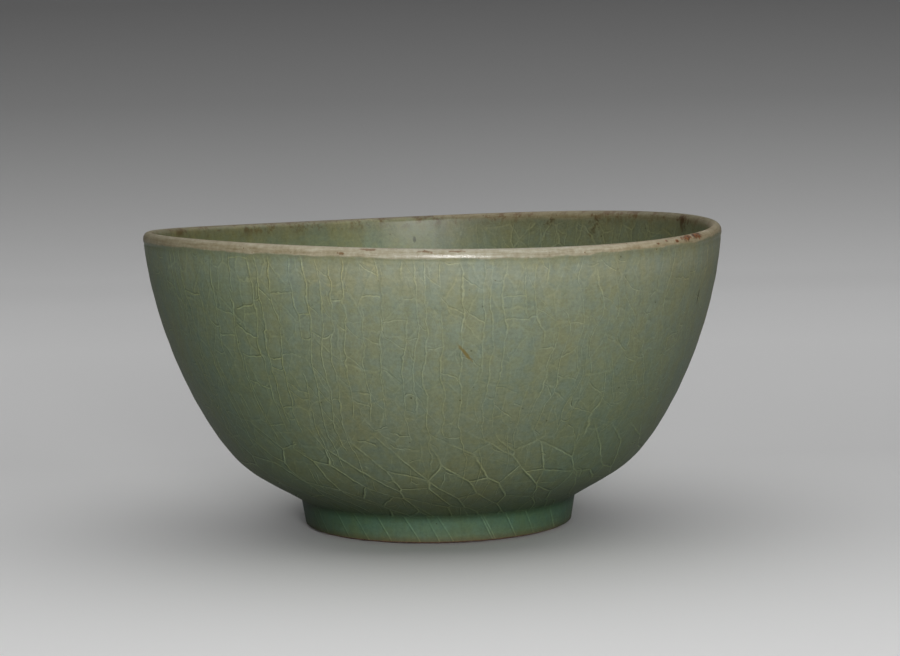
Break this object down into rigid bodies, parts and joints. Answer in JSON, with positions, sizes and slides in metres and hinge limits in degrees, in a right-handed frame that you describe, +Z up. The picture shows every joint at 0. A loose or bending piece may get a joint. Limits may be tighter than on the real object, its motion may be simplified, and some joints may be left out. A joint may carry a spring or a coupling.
{
  "type": "celadon bowl",
  "caption": "Deep rounded food bowl in green-glazed stoneware on a low turned foot ring; it holds rice, soup or tea.",
  "frame": {"origin": "on the surface the bowl stands on, under the centre of its foot ring", "axes": "+Z up, out of the mouth; +X to the right and +Y away in the picture"},
  "size_m": [0.18, 0.18, 0.0943],
  "materials": {
    "stoneware": "matt, iron-flashed orange brown where bare",
    "celadon_glaze": "glossy grey-green glass with a pale crackle",
    "fireclay": "rough, sandy"
  },
  "bodies": {
    "root": {"stoneware_body": "stoneware", "glaze_coat": "celadon_glaze", "base_glaze": "celadon_glaze", "kiln_pad_scar_1": "fireclay", "kiln_pad_scar_2": "fireclay", "kiln_pad_scar_3": "fireclay"}
  },
  "joints": []
}
